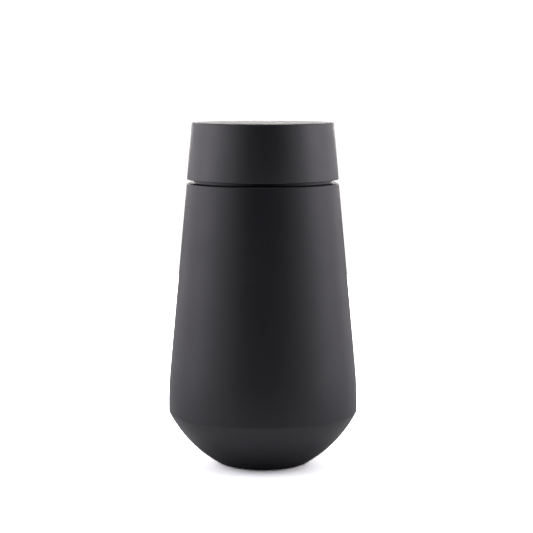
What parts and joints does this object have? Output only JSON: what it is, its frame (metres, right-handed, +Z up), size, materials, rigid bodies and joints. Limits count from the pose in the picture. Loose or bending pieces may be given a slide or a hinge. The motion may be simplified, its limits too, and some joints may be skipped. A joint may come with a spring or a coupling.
{
  "type": "insulated travel tumbler",
  "caption": "Vacuum-insulated steel travel tumbler with a tapered matt body, a rounded underside and a flat-topped screw lid.",
  "frame": {"origin": "centre of the round face it stands on", "axes": "+Z up along the body's axis and out through the lid. The body is round; +Y points away from the side seen in the picture"},
  "size_m": [0.0886, 0.0886, 0.16],
  "materials": {
    "outer_shell": "matt charcoal powder coat on stainless steel",
    "outer_bottom": "matt charcoal powder coat on stainless steel",
    "inner_vessel": "turned stainless steel, satin",
    "inner_bottom": "pressed stainless steel, satin",
    "copper_foil": "bright copper foil",
    "getter_pellet": "dull pressed metal powder",
    "getter_strap": "thin plain steel strip",
    "vacuum_seal_bead": "dark fused solder glass",
    "base_cap": "fine matt moulded plastic",
    "foot_pad": "matt moulded silicone",
    "lid_shell": "soft matt charcoal coating on moulded plastic",
    "lid_liner": "satin moulded polypropylene",
    "lid_insulation": "fine-celled insulating foam, white",
    "lid_core_cover": "satin moulded polypropylene",
    "lid_bond_pad": "double-sided foam tape",
    "lid_gasket": "translucent grey silicone, satin"
  },
  "bodies": {
    "cup": {"outer_shell": "outer_shell", "outer_bottom": "outer_bottom", "inner_vessel": "inner_vessel", "inner_bottom": "inner_bottom", "copper_foil": "copper_foil", "getter_pellet": "getter_pellet", "getter_strap": "getter_strap", "vacuum_seal_bead": "vacuum_seal_bead", "base_cap": "base_cap", "foot_pad": "foot_pad"},
    "seal": {"lid_gasket": "lid_gasket"},
    "lid": {"lid_shell": "lid_shell", "lid_liner": "lid_liner", "lid_insulation": "lid_insulation", "lid_core_cover": "lid_core_cover", "lid_bond_pad": "lid_bond_pad"}
  },
  "joints": [
    {"name": "lid_rise", "type": "slide", "parent": "cup", "child": "seal", "axis": [0, 0, 1], "range_m": [0, 0.048]},
    {"name": "lid_turn", "type": "hinge", "parent": "seal", "child": "lid", "pos_m": [0, 0, 0], "axis": [0, 0, 1], "range_deg": [0, 1440]}
  ],
  "couplings": [
    {"joint": "lid_rise", "follows": "lid_turn", "m_per_rad": 0.0019099}
  ]
}
